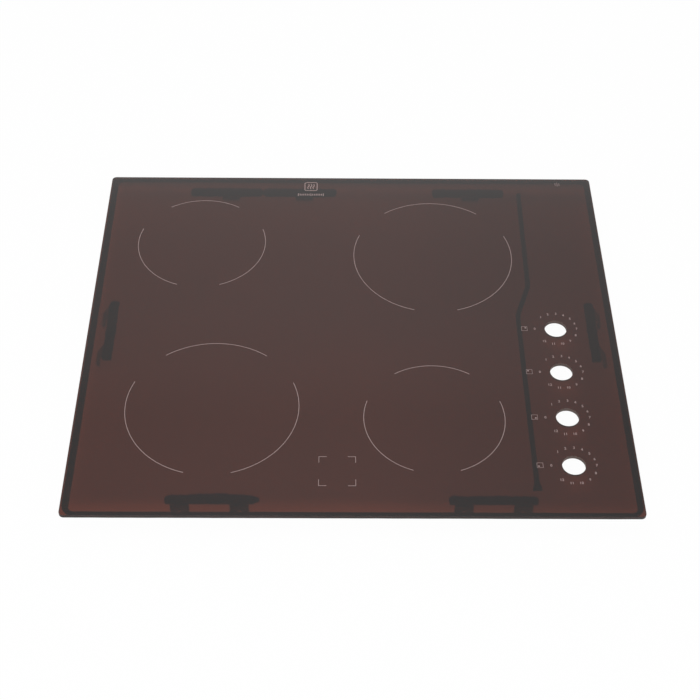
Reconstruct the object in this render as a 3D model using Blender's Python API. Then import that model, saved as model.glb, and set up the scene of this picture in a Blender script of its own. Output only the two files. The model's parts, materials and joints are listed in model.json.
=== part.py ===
"""Glass-ceramic hob top with bonded steel brackets and foam seals. Metres, +Z up.

The origin is under the middle of the plate, on the plane of the brackets' lower ends. -Y is the side where
the cook stands, and the knob row is on the right, at +X. The plate lies above everything else.
"""

import math

import bmesh
import bpy

# Overall sizes of the glass
PLATE_WIDTH = 0.590
PLATE_DEPTH = 0.520
PLATE_THICKNESS = 0.004
PLATE_CORNER_RADIUS = 0.005
PLATE_GROUND_EDGE = 0.0005

# Knob holes: a row that runs from front to rear
KNOB_HOLE_DIAMETER = 0.0246
KNOB_HOLE_COUNT = 4
KNOB_HOLE_PITCH = 0.0653
KNOB_ROW_FROM_RIGHT = 0.0664
KNOB_ROW_FROM_FRONT = 0.0661

# Foam seals, which lie against the underside
SEAL_THICKNESS = 0.002
SEAL_WIDTH = 0.0054
SEAL_INSET = 0.0011
SEAL_OUTER_RADIUS = 0.0125
SEAL_INNER_RADIUS = 0.004
DIVIDER_WIDTH = 0.0042
DIVIDER_THICKNESS = 0.003
DIVIDER_REAR_END = 0.0247  # from the plate's rear edge
DIVIDER_FRONT_END = 0.0368  # from the plate's front edge
DIVIDER_REAR_OFFSET = 0.0223  # from the knob row to the strip's rear end
DIVIDER_SLANT_REAR = 0.0018  # how far the rear run drifts towards the middle
DIVIDER_JOG = 0.0155  # sideways step of the S bend
DIVIDER_SLANT_FRONT = 0.0008
DIVIDER_JOG_BEHIND_ROW = 0.0250  # from the last knob hole to the front end of the S bend
DIVIDER_JOG_LENGTH = 0.0465
DIVIDER_BEND_RADIUS = 0.030

# Steel brackets: a flat bar under the glass, folded down into tabs
SHEET = 0.001
BAR_LENGTH = 0.090
REAR_BAR_LENGTH = 0.087
BAR_WIDTH = 0.0097
BAR_CORNER_RADIUS = 0.001
TAB_DROP = 0.020  # from the underside of the glass to the tabs' lower ends
TAB_WIDTH = 0.0193
REAR_TAB_WIDTH = 0.022
TAB_CORNER_RADIUS = 0.003
FOLD_RADIUS = 0.0015  # of the middle of the sheet
SCREW_HOLE_DIAMETER = 0.0036
SCREW_HOLE_FROM_END = 0.0075
TAB_FROM_BAR_END = 0.00515  # on a bar with two tabs
REAR_TAB_OFF_CENTER = 0.0043  # towards the knob row, on a bar with one tab
FRONT_BAR_FROM_EDGE = 0.0180
SIDE_BAR_FROM_EDGE = 0.0202
REAR_BAR_FROM_EDGE = 0.0188
FRONT_LEFT_BAR_FROM_SIDE = 0.1048  # from the plate's left edge to the bar's end
FRONT_RIGHT_BAR_FROM_SIDE = 0.107
REAR_BAR_FROM_SIDE = 0.0990
REAR_PAIR_GAP = 0.0035  # between the rear left bar and the rear middle one
REAR_BAR_TO_DIVIDER = 0.0173

# Side tongues, which press against the sides of a worktop's cut-out
CUT_OUT_INSET = 0.015  # from the plate's edge to the cut-out's side
TONGUE_PROUD = 0.0048  # how far a free tongue stands past the cut-out's side
TONGUE_LIP_LENGTH = 0.005
TONGUE_LIP_RETURN = 0.003

# Silicone under the bars
ADHESIVE_THICKNESS = 0.0012
ADHESIVE_MARGIN = 0.0005

# Meshes of pieces that touch keep this gap
CONTACT_GAP = 0.0003

CORNER_STEPS = 8
HOLE_SIDES = 48
SCREW_HOLE_SIDES = 20
FOLD_STEPS = 5
TAB_CORNER_STEPS = 4
CUTTER_EXTRA = 0.002
MOST_OF_A_RUN = 0.45
GROUND_EDGE_STEPS = 2
SHARP_ANGLE = math.radians(60)

GLASS_UNDERSIDE = TAB_DROP
GLASS_TOP = GLASS_UNDERSIDE + PLATE_THICKNESS
BEAD_TOP = GLASS_UNDERSIDE - CONTACT_GAP
BEAD_BOTTOM = BEAD_TOP - ADHESIVE_THICKNESS
BAR_TOP = BEAD_BOTTOM - CONTACT_GAP
BAR_BOTTOM = BAR_TOP - SHEET


def clear_scene():
    for obj in list(bpy.data.objects):
        bpy.data.objects.remove(obj, do_unlink=True)


def make_material(name, color, roughness, metallic=0.0, transmission=0.0):
    """A plain Principled finish for one piece."""
    material = bpy.data.materials.new(name)
    material.use_nodes = True
    shader = material.node_tree.nodes["Principled BSDF"]
    shader.inputs["Base Color"].default_value = (*color, 1.0)
    shader.inputs["Roughness"].default_value = roughness
    shader.inputs["Metallic"].default_value = metallic
    shader.inputs["Transmission Weight"].default_value = transmission
    return material


def glass_finish(name):
    return make_material(name, (0.09, 0.035, 0.025), 0.05, transmission=0.6)


def foam_finish(name):
    return make_material(name, (0.035, 0.034, 0.036), 0.9)


def steel_finish(name):
    return make_material(name, (0.05, 0.05, 0.053), 0.45, metallic=0.3)


def silicone_finish(name):
    return make_material(name, (0.03, 0.03, 0.032), 0.55)


def new_object(name, bm, material):
    """The bmesh as a scene object called name, with its faces turned outwards."""
    bmesh.ops.recalc_face_normals(bm, faces=bm.faces)
    mesh = bpy.data.meshes.new(name)
    bm.to_mesh(mesh)
    bm.free()
    mesh.materials.append(material)
    obj = bpy.data.objects.new(name, mesh)
    bpy.context.scene.collection.objects.link(obj)
    return obj


def arc(center, radius, start, end, steps):
    """Points on a circle's arc from angle start to angle end, both of them included."""
    points = []
    for i in range(steps + 1):
        angle = start + (end - start) * i / steps
        points.append((center[0] + radius * math.cos(angle), center[1] + radius * math.sin(angle)))
    return points


def rounded_rectangle(width, depth, radius, center=(0.0, 0.0)):
    """Outline of a rectangle with round corners, counterclockwise from its right side."""
    outline = []
    for quarter, (side_x, side_y) in enumerate([(1, 1), (-1, 1), (-1, -1), (1, -1)]):
        corner = (
            center[0] + side_x * (width / 2 - radius),
            center[1] + side_y * (depth / 2 - radius),
        )
        start = quarter * math.pi / 2
        outline += arc(corner, radius, start, start + math.pi / 2, CORNER_STEPS)
    return outline


def add_prism(bm, outline, low, high):
    """Extrudes an outline of the XY plane from height low to height high."""
    base = bm.faces.new([bm.verts.new((x, y, low)) for x, y in outline])
    raised = bmesh.ops.extrude_face_region(bm, geom=[base])["geom"]
    verts = [item for item in raised if isinstance(item, bmesh.types.BMVert)]
    bmesh.ops.translate(bm, verts=verts, vec=(0, 0, high - low))


def make_prism(name, outline, low, high, material):
    bm = bmesh.new()
    add_prism(bm, outline, low, high)
    return new_object(name, bm, material)


def boolean(target, tool, operation):
    """Joins the tool's shape to the target, or takes it out, and hides the tool."""
    modifier = target.modifiers.new(tool.name, "BOOLEAN")
    modifier.operation = operation
    modifier.solver = "EXACT"
    modifier.object = tool
    tool.hide_render = True
    tool.display_type = "WIRE"


def make_round_cutter(name, radius, length, sides, location, turn=(0.0, 0.0, 0.0)):
    bm = bmesh.new()
    bmesh.ops.create_cone(
        bm, cap_ends=True, segments=sides, radius1=radius, radius2=radius, depth=length
    )
    obj = new_object(name, bm, make_material(name, (1, 0, 0), 0.5))
    obj.location = location
    obj.rotation_euler = turn
    return obj


def knob_hole_centers():
    """Middles of the knob holes on the plate, front to rear."""
    x = PLATE_WIDTH / 2 - KNOB_ROW_FROM_RIGHT
    front = -PLATE_DEPTH / 2 + KNOB_ROW_FROM_FRONT
    return [(x, front + i * KNOB_HOLE_PITCH) for i in range(KNOB_HOLE_COUNT)]


def make_glass_plate():
    """The plate with its knob holes and a fine ground edge on every rim."""
    outline = rounded_rectangle(PLATE_WIDTH, PLATE_DEPTH, PLATE_CORNER_RADIUS)
    plate = make_prism(
        "glass_plate", outline, GLASS_UNDERSIDE, GLASS_TOP, glass_finish("glass_ceramic")
    )
    radius, length = KNOB_HOLE_DIAMETER / 2, PLATE_THICKNESS + 2 * CUTTER_EXTRA
    for x, y in knob_hole_centers():
        middle = (x, y, (GLASS_UNDERSIDE + GLASS_TOP) / 2)
        cutter = make_round_cutter("knob_hole", radius, length, HOLE_SIDES, middle)
        boolean(plate, cutter, "DIFFERENCE")
    edge = plate.modifiers.new("Ground edge", "BEVEL")
    edge.width = PLATE_GROUND_EDGE
    edge.segments = GROUND_EDGE_STEPS
    edge.limit_method = "ANGLE"
    edge.angle_limit = SHARP_ANGLE
    edge.use_clamp_overlap = True
    return plate


def make_perimeter_seal():
    """One foam loop that follows the plate's edge."""
    top = GLASS_UNDERSIDE - CONTACT_GAP
    bottom = top - SEAL_THICKNESS
    inner_inset = SEAL_INSET + SEAL_WIDTH
    bm = bmesh.new()
    loops = []
    for inset, radius, height in [
        (SEAL_INSET, SEAL_OUTER_RADIUS, top),
        (SEAL_INSET, SEAL_OUTER_RADIUS, bottom),
        (inner_inset, SEAL_INNER_RADIUS, bottom),
        (inner_inset, SEAL_INNER_RADIUS, top),
    ]:
        outline = rounded_rectangle(PLATE_WIDTH - 2 * inset, PLATE_DEPTH - 2 * inset, radius)
        loops.append([bm.verts.new((x, y, height)) for x, y in outline])
    for here, there in zip(loops, loops[1:] + loops[:1]):
        for i in range(len(here)):
            bm.faces.new((here[i - 1], here[i], there[i], there[i - 1]))
    return new_object("perimeter_seal", bm, foam_finish("seal_foam"))


def fillet_corner(before, corner, after, radius):
    """The arc that rounds one corner of a path. It never takes up more than its share of a short run."""
    inward = [(p[0] - corner[0], p[1] - corner[1]) for p in (before, after)]
    lengths = [math.hypot(*v) for v in inward]
    units = [(v[0] / n, v[1] / n) for v, n in zip(inward, lengths)]
    between = math.acos(units[0][0] * units[1][0] + units[0][1] * units[1][1])
    radius = min(radius, MOST_OF_A_RUN * min(lengths) * math.tan(between / 2))
    reach = radius / math.sin(between / 2)
    bisector = (units[0][0] + units[1][0], units[0][1] + units[1][1])
    size = math.hypot(*bisector)
    center = (corner[0] + bisector[0] / size * reach, corner[1] + bisector[1] / size * reach)
    touch = radius / math.tan(between / 2)
    ends = [(corner[0] + u[0] * touch, corner[1] + u[1] * touch) for u in units]
    angles = [math.atan2(p[1] - center[1], p[0] - center[0]) for p in ends]
    turn = (angles[1] - angles[0] + math.pi) % (2 * math.pi) - math.pi
    return arc(center, radius, angles[0], angles[0] + turn, CORNER_STEPS)


def rounded_path(points, radius):
    """A path of straight runs whose inner corners are rounded."""
    path = [points[0]]
    for before, corner, after in zip(points, points[1:], points[2:]):
        path += fillet_corner(before, corner, after, radius)
    return path + [points[-1]]


def strip_outline(path, width):
    """Both sides of a strip of even width that follows a path."""
    left, right = [], []
    for i, (x, y) in enumerate(path):
        ahead = path[min(i + 1, len(path) - 1)]
        behind = path[max(i - 1, 0)]
        length = math.dist(ahead, behind)
        normal = (-(ahead[1] - behind[1]) / length, (ahead[0] - behind[0]) / length)
        left.append((x + normal[0] * width / 2, y + normal[1] * width / 2))
        right.append((x - normal[0] * width / 2, y - normal[1] * width / 2))
    return left + right[::-1]


def divider_corners():
    """Ends and bends of the divider's middle line, rear to front."""
    row_x, last_hole_y = knob_hole_centers()[-1]
    jog_front = last_hole_y + DIVIDER_JOG_BEHIND_ROW
    rear_x = row_x - DIVIDER_REAR_OFFSET
    jog_rear_x = rear_x - DIVIDER_SLANT_REAR
    jog_front_x = jog_rear_x - DIVIDER_JOG
    return [
        (rear_x, PLATE_DEPTH / 2 - DIVIDER_REAR_END),
        (jog_rear_x, jog_front + DIVIDER_JOG_LENGTH),
        (jog_front_x, jog_front),
        (jog_front_x - DIVIDER_SLANT_FRONT, -PLATE_DEPTH / 2 + DIVIDER_FRONT_END),
    ]


def make_divider_seal():
    """Foam strip between the cooking area and the knob row."""
    path = rounded_path(divider_corners(), DIVIDER_BEND_RADIUS)
    top = GLASS_UNDERSIDE - CONTACT_GAP
    outline = strip_outline(path, DIVIDER_WIDTH)
    return make_prism(
        "divider_seal", outline, top - DIVIDER_THICKNESS, top, foam_finish("divider_foam")
    )


def straight_tab_path():
    """Middle of the sheet from inside the bar, round the fold and down. Pairs of (outwards, height)."""
    middle = (BAR_TOP + BAR_BOTTOM) / 2
    fold = arc((0.0, middle - FOLD_RADIUS), FOLD_RADIUS, math.pi / 2, 0.0, FOLD_STEPS)
    return [(-BAR_WIDTH / 2, middle)] + fold + [(FOLD_RADIUS, 0.0)]


def tongue_path():
    """As a straight tab, but leaning outwards down to a knee, with a lip that turns back in."""
    middle = (BAR_TOP + BAR_BOTTOM) / 2
    fold_end = (FOLD_RADIUS, middle - FOLD_RADIUS)
    lip_lean = math.atan2(TONGUE_LIP_RETURN, TONGUE_LIP_LENGTH)
    lip_end_height = SHEET / 2 * math.sin(lip_lean)
    knee_out = SIDE_BAR_FROM_EDGE - CUT_OUT_INSET + TONGUE_PROUD - SHEET / 2
    knee = (knee_out, lip_end_height + TONGUE_LIP_LENGTH)
    lip = (knee[0] - TONGUE_LIP_RETURN, lip_end_height)
    fold = arc((0.0, fold_end[1]), FOLD_RADIUS, math.pi / 2, 0.0, FOLD_STEPS)
    return [(-BAR_WIDTH / 2, middle)] + fold + fillet_corner(fold_end, knee, lip, FOLD_RADIUS) + [lip]


def add_tab(bm, path, along, width):
    """One folded strip of sheet, whose middle is at along on the bar."""
    outline = strip_outline(path, SHEET)
    low, high = along - width / 2, along + width / 2
    base_verts = [bm.verts.new((low, -out, height)) for out, height in outline]
    base = bm.faces.new(base_verts)
    raised = bmesh.ops.extrude_face_region(bm, geom=[base])["geom"]
    verts = [item for item in raised if isinstance(item, bmesh.types.BMVert)]
    bmesh.ops.translate(bm, verts=verts, vec=(high - low, 0, 0))
    lower_end = base_verts[len(path) - 1 : len(path) + 1]
    far_end = [min(verts, key=lambda vert: (vert.co - near.co).length) for near in lower_end]
    bmesh.ops.bevel(
        bm,
        geom=[bm.edges.get(lower_end), bm.edges.get(far_end)],
        offset=TAB_CORNER_RADIUS,
        offset_type="OFFSET",
        segments=TAB_CORNER_STEPS,
        profile=0.5,
        affect="EDGES",
    )


def join_tab(bracket, path, along, width):
    """Folds one tab onto the bar."""
    bm = bmesh.new()
    add_tab(bm, path, along, width)
    tab = new_object(f"{bracket.name}_tab", bm, bracket.data.materials[0])
    tab.parent = bracket
    boolean(bracket, tab, "UNION")


def drill_screw_hole(bracket, along):
    """A hole through one straight tab, for a casing screw."""
    radius, length = SCREW_HOLE_DIAMETER / 2, SHEET + 2 * CUTTER_EXTRA
    place = (along, -FOLD_RADIUS, SCREW_HOLE_FROM_END)
    quarter = math.pi / 2
    name = f"{bracket.name}_hole"
    cutter = make_round_cutter(name, radius, length, SCREW_HOLE_SIDES, place, (quarter, 0.0, 0.0))
    cutter.parent = bracket
    boolean(bracket, cutter, "DIFFERENCE")


def make_bracket(name, length, tab_places, tab_width, path, has_screw_holes):
    """A bar along X with tabs on its -Y side, folded down. Its outer edge lies on y = 0."""
    outline = rounded_rectangle(length, BAR_WIDTH, BAR_CORNER_RADIUS, (0.0, BAR_WIDTH / 2))
    bracket = make_prism(name, outline, BAR_BOTTOM, BAR_TOP, steel_finish(f"{name}_steel"))
    for along in tab_places:
        join_tab(bracket, path, along, tab_width)
        if has_screw_holes:
            drill_screw_hole(bracket, along)
    return bracket


def make_adhesive(name, bar_length):
    """The silicone bead between a bar and the glass, laid out like the bar."""
    outline = rounded_rectangle(
        bar_length + 2 * ADHESIVE_MARGIN,
        BAR_WIDTH + 2 * ADHESIVE_MARGIN,
        BAR_CORNER_RADIUS + ADHESIVE_MARGIN,
        (0.0, BAR_WIDTH / 2),
    )
    return make_prism(name, outline, BEAD_BOTTOM, BEAD_TOP, silicone_finish(f"{name}_silicone"))


def place_along_edge(pieces, x, y, turn):
    """Moves a bracket and its bead to their place. turn is about +Z, and 0 faces the front edge."""
    for piece in pieces:
        piece.location = (x, y, 0.0)
        piece.rotation_euler = (0.0, 0.0, turn)


def make_bonded_bracket(where, x, y, turn, bar, path, has_screw_holes=True):
    """A bracket and its bead. bar is the bar's length, the places of its tabs and the tabs' width."""
    edge, _, side = where.partition("_")
    bracket = make_bracket(f"{edge}_bracket_{side}", *bar, path, has_screw_holes)
    bead = make_adhesive(f"adhesive_{where}", bar[0])
    place_along_edge((bracket, bead), x, y, turn)


def make_brackets():
    """All seven brackets, each bonded at its own place along the plate's edge."""
    front_left_x = -PLATE_WIDTH / 2 + FRONT_LEFT_BAR_FROM_SIDE + BAR_LENGTH / 2
    front_right_x = PLATE_WIDTH / 2 - FRONT_RIGHT_BAR_FROM_SIDE - BAR_LENGTH / 2
    front_y = -PLATE_DEPTH / 2 + FRONT_BAR_FROM_EDGE
    side_x = PLATE_WIDTH / 2 - SIDE_BAR_FROM_EDGE
    rear_y = PLATE_DEPTH / 2 - REAR_BAR_FROM_EDGE
    rear_left_x = -PLATE_WIDTH / 2 + REAR_BAR_FROM_SIDE + REAR_BAR_LENGTH / 2
    divider_x = divider_corners()[0][0]
    tab_offset = (BAR_LENGTH - TAB_WIDTH) / 2 - TAB_FROM_BAR_END
    pair = (BAR_LENGTH, (-tab_offset, tab_offset), TAB_WIDTH)
    single = (REAR_BAR_LENGTH, (-REAR_TAB_OFF_CENTER,), REAR_TAB_WIDTH)
    tab, tongue = straight_tab_path(), tongue_path()
    quarter = math.pi / 2
    make_bonded_bracket("front_left", front_left_x, front_y, 0.0, pair, tab)
    make_bonded_bracket("front_right", front_right_x, front_y, 0.0, pair, tab)
    make_bonded_bracket("side_left", -side_x, 0.0, -quarter, pair, tongue, False)
    make_bonded_bracket("side_right", side_x, 0.0, quarter, pair, tongue, False)
    for where, x in [
        ("rear_left", rear_left_x),
        ("rear_middle", rear_left_x + REAR_BAR_LENGTH + REAR_PAIR_GAP),
        ("rear_right", divider_x - DIVIDER_WIDTH / 2 - REAR_BAR_TO_DIVIDER - REAR_BAR_LENGTH / 2),
    ]:
        make_bonded_bracket(where, x, rear_y, math.pi, single, tab)


def main():
    clear_scene()
    make_glass_plate()
    make_perimeter_seal()
    make_divider_seal()
    make_brackets()


main()
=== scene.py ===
import json
import math

import bpy
import numpy as np
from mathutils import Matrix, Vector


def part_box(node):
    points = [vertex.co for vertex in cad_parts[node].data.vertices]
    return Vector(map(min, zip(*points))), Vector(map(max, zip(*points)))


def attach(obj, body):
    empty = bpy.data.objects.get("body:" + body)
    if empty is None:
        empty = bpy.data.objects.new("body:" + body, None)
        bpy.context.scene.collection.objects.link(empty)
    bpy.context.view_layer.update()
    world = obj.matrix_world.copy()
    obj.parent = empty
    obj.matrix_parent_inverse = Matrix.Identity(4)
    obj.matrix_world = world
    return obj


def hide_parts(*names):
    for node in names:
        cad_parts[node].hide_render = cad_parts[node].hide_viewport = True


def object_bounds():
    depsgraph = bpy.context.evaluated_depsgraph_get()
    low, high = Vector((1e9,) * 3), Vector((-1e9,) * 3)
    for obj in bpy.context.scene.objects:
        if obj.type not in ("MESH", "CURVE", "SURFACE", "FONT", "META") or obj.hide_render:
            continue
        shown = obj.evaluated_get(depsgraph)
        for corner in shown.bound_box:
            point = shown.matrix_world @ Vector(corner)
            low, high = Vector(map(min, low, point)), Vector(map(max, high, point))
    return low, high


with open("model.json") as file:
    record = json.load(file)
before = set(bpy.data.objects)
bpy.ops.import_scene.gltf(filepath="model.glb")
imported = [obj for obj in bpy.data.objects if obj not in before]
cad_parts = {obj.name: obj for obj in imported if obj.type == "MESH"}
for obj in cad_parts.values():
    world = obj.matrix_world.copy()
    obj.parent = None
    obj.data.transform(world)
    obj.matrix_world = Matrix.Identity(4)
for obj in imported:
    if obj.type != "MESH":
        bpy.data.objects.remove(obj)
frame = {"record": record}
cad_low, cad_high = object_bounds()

bl_info = {
    "name": "Glass-ceramic hob top",
    "version": (1, 0, 0),
    "blender": (4, 5, 0),
    "location": "3D View > Sidebar > Hob top",
    "description": "Builds a four-zone glass-ceramic hob top with its print, seals, brackets and adhesive",
    "category": "Add Mesh",
}

BODY = "root"
WELD = 2e-7  # points closer than this become one, in metres
WELD_SHIFT = 0.137  # keeps round numbers away from the steps of the weld's rounding
CLOSE = 1e-9  # lengths that differ by less are taken as equal, in metres
DECIMALS = 6  # of a metre, that boxes and lattice lines are rounded to
MICROMETRE = 1e-6


def span(node):
    """Lowest and highest corner of one node of the model, as arrays in metres, to the micrometre."""
    low, high = np.round(np.array(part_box(node), float), DECIMALS)
    return low, high


GLASS_LOW, GLASS_HIGH = span("glass_plate")
PERIMETER = span("perimeter_seal")
DIVIDER = span("divider_seal")
BRACKETS = {
    # name: (node, direction that its tabs face, ends of the bar that they sit at, True for sprung tongues)
    "front_left": ("front_bracket_left", (0, -1), (-1, 1), False),
    "front_right": ("front_bracket_right", (0, -1), (-1, 1), False),
    "side_left": ("side_bracket_left", (-1, 0), (-1, 1), True),
    "side_right": ("side_bracket_right", (1, 0), (-1, 1), True),
    "rear_left": ("rear_bracket_left", (0, 1), (0,), False),
    "rear_middle": ("rear_bracket_middle", (0, 1), (0,), False),
    "rear_right": ("rear_bracket_right", (0, 1), (0,), False),
}


def knob_holes():
    """Centres of the four knob holes, front to rear, from the spaces that the record keeps open."""
    boxes = [
        np.array(opening["box_m"])
        for opening in frame["record"]["physics"]["openings"]
        if opening["name"].startswith("knob_hole")
    ]
    centres = np.array([box.mean(0)[:2] for box in boxes])
    return centres[np.argsort(centres[:, 1])]


KNOB_HOLES = knob_holes()


def length(name, description, default):
    return bpy.props.FloatProperty(
        name=name, description=description, default=default, min=0.0, precision=5, unit="LENGTH"
    )


def place(name, description, default):
    return bpy.props.FloatVectorProperty(
        name=name, description=description, default=default, size=2, precision=5, unit="LENGTH"
    )


def colour(name, description, default):
    return bpy.props.FloatVectorProperty(
        name=name, description=description, default=default, size=3, min=0.0, max=1.0, subtype="COLOR"
    )


def number(name, description, default, **limits):
    return bpy.props.FloatProperty(name=name, description=description, default=default, **limits)


def share(name, description, default):
    return number(name, description, default, min=0.0, max=1.0)


def edge_gaps(name, description, default):
    return bpy.props.FloatVectorProperty(
        name=name, description=description + ", at the left, right, front and rear",
        default=default, size=4, precision=5, unit="LENGTH",
    )


class HobGlassSizes(bpy.types.PropertyGroup):
    corner_radius: length("Corner radius", "Radius of the plate's four corners", 0.005)
    ground_edge: length("Ground edge", "Radius ground onto the plate's edges", 0.00045)
    hole_diameter: length("Knob hole", "Diameter of the knob holes", 0.0246)
    hole_chamfer: length("Hole chamfer", "Width ground off the rims of the knob holes", 0.00012)
    print_relief: length("Print relief", "How far the fired enamel stands above the glass", 0.00004)
    nub_pitch: length("Nub pitch", "Distance between the nubs rolled into the underside", 0.0031)
    nub_height: length("Nub height", "Height of those nubs", 0.00006)


class HobPrintSizes(bpy.types.PropertyGroup):
    line: length("Line", "Width of the zone rings' lines", 0.00070)
    sign_line: length("Sign line", "Width of the lines of the zone signs", 0.00038)
    mark_line: length("Mark line", "Width of the lines of the corner mark", 0.00060)
    heat_line: length("Heat line", "Width of the lines of the heat sign", 0.00115)
    small_radius: length("Small zone", "Radius of the two small zones", 0.075)
    large_radius: length("Large zone", "Radius of the two large zones", 0.0926)
    rear_left: place("Rear left zone", "Centre of the rear left zone, a small one", (-0.1769, 0.1415))
    front_left: place("Front left zone", "Centre of the front left zone, a large one", (-0.1496, -0.1156))
    rear_right: place("Rear right zone", "Centre of the rear right zone, a large one", (0.0953, 0.1204))
    front_right: place("Front right zone", "Centre of the front right zone, a small one", (0.0869, -0.1302))
    dial_radius: length("Dial radius", "Distance of the dial numbers from the knob's centre", 0.0236)
    digit_height: length("Digit height", "Height of the dial numbers", 0.0033)
    sign_distance: length("Sign distance", "Distance of a zone sign from its knob's centre", 0.0352)
    sign_size: length("Sign size", "Side of the square zone signs", 0.0063)
    frame_centre: place("Corner mark", "Centre of the four-cornered mark at the front", (-0.016, -0.2025))
    frame_size: length("Corner mark size", "Side of the four-cornered mark", 0.0380)
    frame_leg: length("Corner mark leg", "Length of each leg of that mark", 0.0080)
    heat_centre: place("Heat mark", "Centre of the heat sign at the rear edge", (-0.0494, 0.2437))
    heat_size: length("Heat mark size", "Side of the heat sign", 0.0150)
    corner_ticks: place("Corner ticks", "Centre of the three short ticks near the rear right corner", (0.2545, 0.2499))
    ticks_width: length("Tick row", "Length of the row of ticks below the heat sign", 0.0305)


class HobSealSizes(bpy.types.PropertyGroup):
    outer_insets: edge_gaps(
        "Outer insets", "Gaps from the plate's edge to the foam strip", (0.0010, 0.0006, 0.0016, 0.0003)
    )
    inner_insets: edge_gaps(
        "Inner insets", "Gaps from the plate's edge to the strip's inner side", (0.0083, 0.0072, 0.0072, 0.0051)
    )
    outer_radius: length("Outer corner", "Outer radius of that strip's front corners", 0.0150)
    rear_outer_radius: length("Rear outer corner", "Outer radius of its rear corners", 0.0060)
    inner_radius: length("Inner corner", "Inner radius of that strip's corners", 0.006)
    divider_width: length("Divider width", "Width of the foam strip beside the knob row", 0.0055)
    divider_foot: length("Divider foot", "How much wider that strip gets at its front end", 0.0044)
    foot_length: length("Foot length", "Length of that wider end", 0.0090)
    divider_bend: length("Divider bend", "Radius of the divider's bends", 0.030)
    rear_slant: length("Rear slant", "Sideways drift of the divider's rear run", 0.0018)
    jog: length("Jog", "Sideways step of the divider behind the knob row", 0.0155)
    jog_behind: length("Jog place", "Distance of the step's front end behind the last knob hole", 0.0250)
    jog_length: length("Jog length", "Length of the step from front to rear", 0.0465)
    unevenness: length("Unevenness", "How far the hand-laid strips wander", 0.00012)


class HobBracketSizes(bpy.types.PropertyGroup):
    sheet: length("Sheet", "Thickness of the brackets' sheet", 0.001)
    bar_width: length("Bar width", "Width of the bonded bar", 0.0097)
    bar_corner: length("Bar corner", "Radius of the bar's corners", 0.001)
    tab_width: length("Tab width", "Width of a tab on a bar with two tabs", 0.0193)
    single_tab_width: length("Single tab width", "Width of the tab on a bar with one tab", 0.022)
    single_tab_offset: length(
        "Single tab place", "How far that tab sits from the bar's middle, towards the knob row", 0.0043
    )
    tab_corner: length("Tab corner", "Radius of a tab's lower corners", 0.003)
    tab_from_end: length("Tab place", "Distance of a tab from its end of the bar", 0.00515)
    fold_radius: length("Fold radius", "Radius of the folds, in the middle of the sheet", 0.0015)
    screw_hole: length("Screw hole", "Diameter of the screw holes", 0.0036)
    hole_from_end: length("Screw hole place", "Height of the screw holes above the tab's end", 0.0075)
    lip_length: length("Lip length", "Height of the lip below a tongue's knee", 0.005)
    lip_return: length("Lip return", "How far that lip turns back in", 0.003)
    broken_edge: length("Broken edge", "Radius rubbed onto the sheet's edges", 0.00014)


class HobBeadSizes(bpy.types.PropertyGroup):
    margin: length("Margin", "How far a bead reaches past its bar", 0.0006)
    wander: length("Wander", "How far a bead's edge wanders", 0.0009)
    bulge: length("Bulge", "How far the front left bead is squeezed out towards the rear", 0.0022)
    tail: length("Tail", "How far that bead runs on past its bar, towards the middle", 0.0050)
    rear_tail: length("Rear tail", "How far the middle rear bead runs on towards its left neighbour", 0.0024)
    rear_spread: length("Rear spread", "How much further the beads at the rear edge are squeezed inwards", 0.0034)


class HobFinishes(bpy.types.PropertyGroup):
    glass: colour("Glass", "What the glass-ceramic lets through, straight down", (0.090, 0.0175, 0.0080))
    bore: colour("Bore", "Frosted wall of the knob holes", (0.17, 0.125, 0.112))
    glass_bend: number("Glass IOR", "How strongly the glass-ceramic bends light", 1.5, min=1.0, max=2.0)
    foam: colour("Foam", "Closed-cell foam of the seals", (0.045, 0.043, 0.045))
    coating: colour("Bracket coating", "Black coating of the brackets", (0.040, 0.040, 0.043))
    bare_steel: colour("Bare steel", "Cut edges of the brackets", (0.30, 0.30, 0.31))
    silicone: colour("Silicone", "Cured silicone of the beads", (0.030, 0.030, 0.032))
    enamel: colour("Enamel", "Print fired onto the glass", (0.37, 0.275, 0.265))
    ground: colour("Ground", "Floor under the hob top", (0.90, 0.90, 0.90))


class HobStageSettings(bpy.types.PropertyGroup):
    world_level: number("World level", "Brightness of the even light from all round", 0.27, min=0.0)
    front_power: number("Front lamp", "Power of the low soft lamp at the front, in watts", 22.0, min=0.0)
    top_power: number("Top lamp", "Power of the soft lamp above, in watts", 24.0, min=0.0)
    seen_ground: share("Own white seen", "Share of its own white in the ground as the camera sees it", 0.98)
    # This share scales the painted light and shade that the floor shows through the glass.
    ground_through_glass: share("Own white through glass", "The same share, as seen through the glass", 0.42)
    ground_mirrored: share("Own white mirrored", "The same share, as mirrored in glass and metal", 0.6)
    # Painted shade: how much of the floor's own white seen through the glass is left at the right.
    ground_right: share("Right of the ground", "How much of the share through glass is left at the right", 0.70)
    # Painted shadow: how far the lit floor seen through the glass is painted towards black along the plate's rear
    # edge.
    rear_shade: share("Rear shade", "How much of the lit ground is lost through the glass at the rear edge", 0.75)
    side_level: share("Side level", "How much of what glass mirrors ahead is left towards the sides", 0.856)


def settings():
    return bpy.context.scene.hob_top


def print_heights():
    """Lower and upper height of the enamel: it stands on the glass and is fired a hair into it."""
    fired_in = 1e-5
    return GLASS_HIGH[2] - settings().glass.print_relief - fired_in, GLASS_HIGH[2]


# ---------------------------------------------------------------- surfaces


SQUARE = np.array([(-1, -1), (1, -1), (1, 1), (-1, 1)])  # counterclockwise


def grid_faces(rows, columns, close_rows=False, close_columns=False):
    """Quads of a grid of points numbered row by row, each from a point to the next row, the next column and back."""
    i, j = np.meshgrid(
        np.arange(rows if close_rows else rows - 1),
        np.arange(columns if close_columns else columns - 1),
        indexing="ij",
    )
    below, right = (i + 1) % rows, (j + 1) % columns
    return np.stack(
        [i * columns + j, below * columns + j, below * columns + right, i * columns + right], -1
    ).reshape(-1, 4)


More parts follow.
